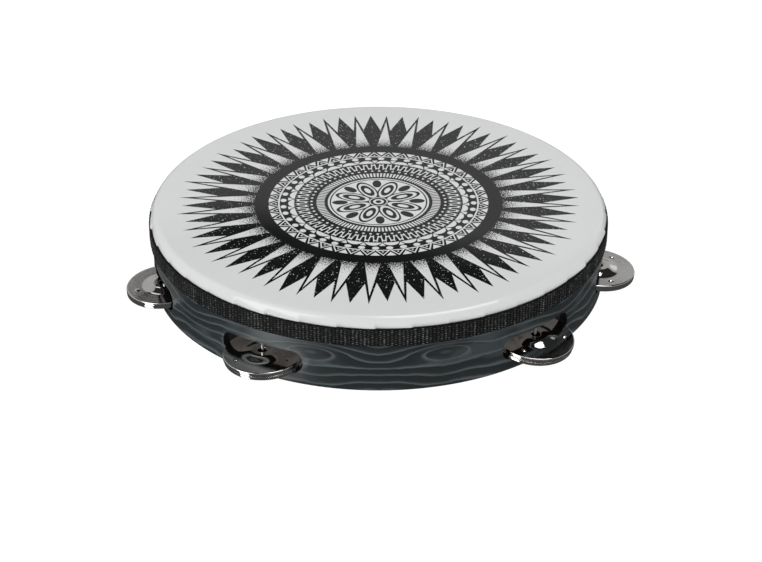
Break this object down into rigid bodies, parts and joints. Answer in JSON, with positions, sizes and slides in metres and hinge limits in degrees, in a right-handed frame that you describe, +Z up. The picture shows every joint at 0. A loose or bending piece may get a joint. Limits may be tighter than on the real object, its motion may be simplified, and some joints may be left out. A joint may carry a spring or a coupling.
{
  "type": "frame drum",
  "caption": "Shallow round frame drum with a flat film head, a taped rim, a slotted shell and pairs of loose metal jingles that slide on pins.",
  "frame": {"origin": "centre of the open rim that the drum stands on", "axes": "+Z up through the head, -Y towards the grip gap between the jingles, +X to the right of the grip gap seen from outside"},
  "size_m": [0.2837, 0.2675, 0.044],
  "materials": {
    "head_film": "glossy white film with a printed black sunburst",
    "binding_tape": "black woven tape",
    "shell_wrap": "dark slate laminate with a paler printed wood grain",
    "shell": "dark stained wood fibre composite, satin",
    "jingle": "polished dark nickel",
    "pin_steel": "bright steel nail"
  },
  "bodies": {
    "drum": {"shell": "shell", "shell_wrap": "shell_wrap", "drumhead": "head_film", "binding_tape": "binding_tape", "jingle_pin_1": "pin_steel", "jingle_pin_2": "pin_steel", "jingle_pin_3": "pin_steel", "jingle_pin_4": "pin_steel", "jingle_pin_5": "pin_steel", "jingle_pin_6": "pin_steel", "jingle_pin_7": "pin_steel", "jingle_pin_8": "pin_steel"},
    "lower_jingle_1": {"lower_jingle_1": "jingle"},
    "upper_jingle_1": {"upper_jingle_1": "jingle"},
    "lower_jingle_2": {"lower_jingle_2": "jingle"},
    "upper_jingle_2": {"upper_jingle_2": "jingle"},
    "lower_jingle_3": {"lower_jingle_3": "jingle"},
    "upper_jingle_3": {"upper_jingle_3": "jingle"},
    "lower_jingle_4": {"lower_jingle_4": "jingle"},
    "upper_jingle_4": {"upper_jingle_4": "jingle"},
    "lower_jingle_5": {"lower_jingle_5": "jingle"},
    "upper_jingle_5": {"upper_jingle_5": "jingle"},
    "lower_jingle_6": {"lower_jingle_6": "jingle"},
    "upper_jingle_6": {"upper_jingle_6": "jingle"},
    "lower_jingle_7": {"lower_jingle_7": "jingle"},
    "upper_jingle_7": {"upper_jingle_7": "jingle"},
    "lower_jingle_8": {"lower_jingle_8": "jingle"},
    "upper_jingle_8": {"upper_jingle_8": "jingle"}
  },
  "joints": [
    {"name": "lower_jingle_1_slide", "type": "slide", "parent": "drum", "child": "lower_jingle_1", "axis": [0, 0, 1], "range_m": [0, 0.0025]},
    {"name": "upper_jingle_1_slide", "type": "slide", "parent": "lower_jingle_1", "child": "upper_jingle_1", "axis": [0, 0, 1], "range_m": [0, 0.0025]},
    {"name": "lower_jingle_2_slide", "type": "slide", "parent": "drum", "child": "lower_jingle_2", "axis": [0, 0, 1], "range_m": [0, 0.0025]},
    {"name": "upper_jingle_2_slide", "type": "slide", "parent": "lower_jingle_2", "child": "upper_jingle_2", "axis": [0, 0, 1], "range_m": [0, 0.0025]},
    {"name": "lower_jingle_3_slide", "type": "slide", "parent": "drum", "child": "lower_jingle_3", "axis": [0, 0, 1], "range_m": [0, 0.0025]},
    {"name": "upper_jingle_3_slide", "type": "slide", "parent": "lower_jingle_3", "child": "upper_jingle_3", "axis": [0, 0, 1], "range_m": [0, 0.0025]},
    {"name": "lower_jingle_4_slide", "type": "slide", "parent": "drum", "child": "lower_jingle_4", "axis": [0, 0, 1], "range_m": [0, 0.0025]},
    {"name": "upper_jingle_4_slide", "type": "slide", "parent": "lower_jingle_4", "child": "upper_jingle_4", "axis": [0, 0, 1], "range_m": [0, 0.0025]},
    {"name": "lower_jingle_5_slide", "type": "slide", "parent": "drum", "child": "lower_jingle_5", "axis": [0, 0, 1], "range_m": [0, 0.0025]},
    {"name": "upper_jingle_5_slide", "type": "slide", "parent": "lower_jingle_5", "child": "upper_jingle_5", "axis": [0, 0, 1], "range_m": [0, 0.0025]},
    {"name": "lower_jingle_6_slide", "type": "slide", "parent": "drum", "child": "lower_jingle_6", "axis": [0, 0, 1], "range_m": [0, 0.0025]},
    {"name": "upper_jingle_6_slide", "type": "slide", "parent": "lower_jingle_6", "child": "upper_jingle_6", "axis": [0, 0, 1], "range_m": [0, 0.0025]},
    {"name": "lower_jingle_7_slide", "type": "slide", "parent": "drum", "child": "lower_jingle_7", "axis": [0, 0, 1], "range_m": [0, 0.0025]},
    {"name": "upper_jingle_7_slide", "type": "slide", "parent": "lower_jingle_7", "child": "upper_jingle_7", "axis": [0, 0, 1], "range_m": [0, 0.0025]},
    {"name": "lower_jingle_8_slide", "type": "slide", "parent": "drum", "child": "lower_jingle_8", "axis": [0, 0, 1], "range_m": [0, 0.0025]},
    {"name": "upper_jingle_8_slide", "type": "slide", "parent": "lower_jingle_8", "child": "upper_jingle_8", "axis": [0, 0, 1], "range_m": [0, 0.0025]}
  ]
}
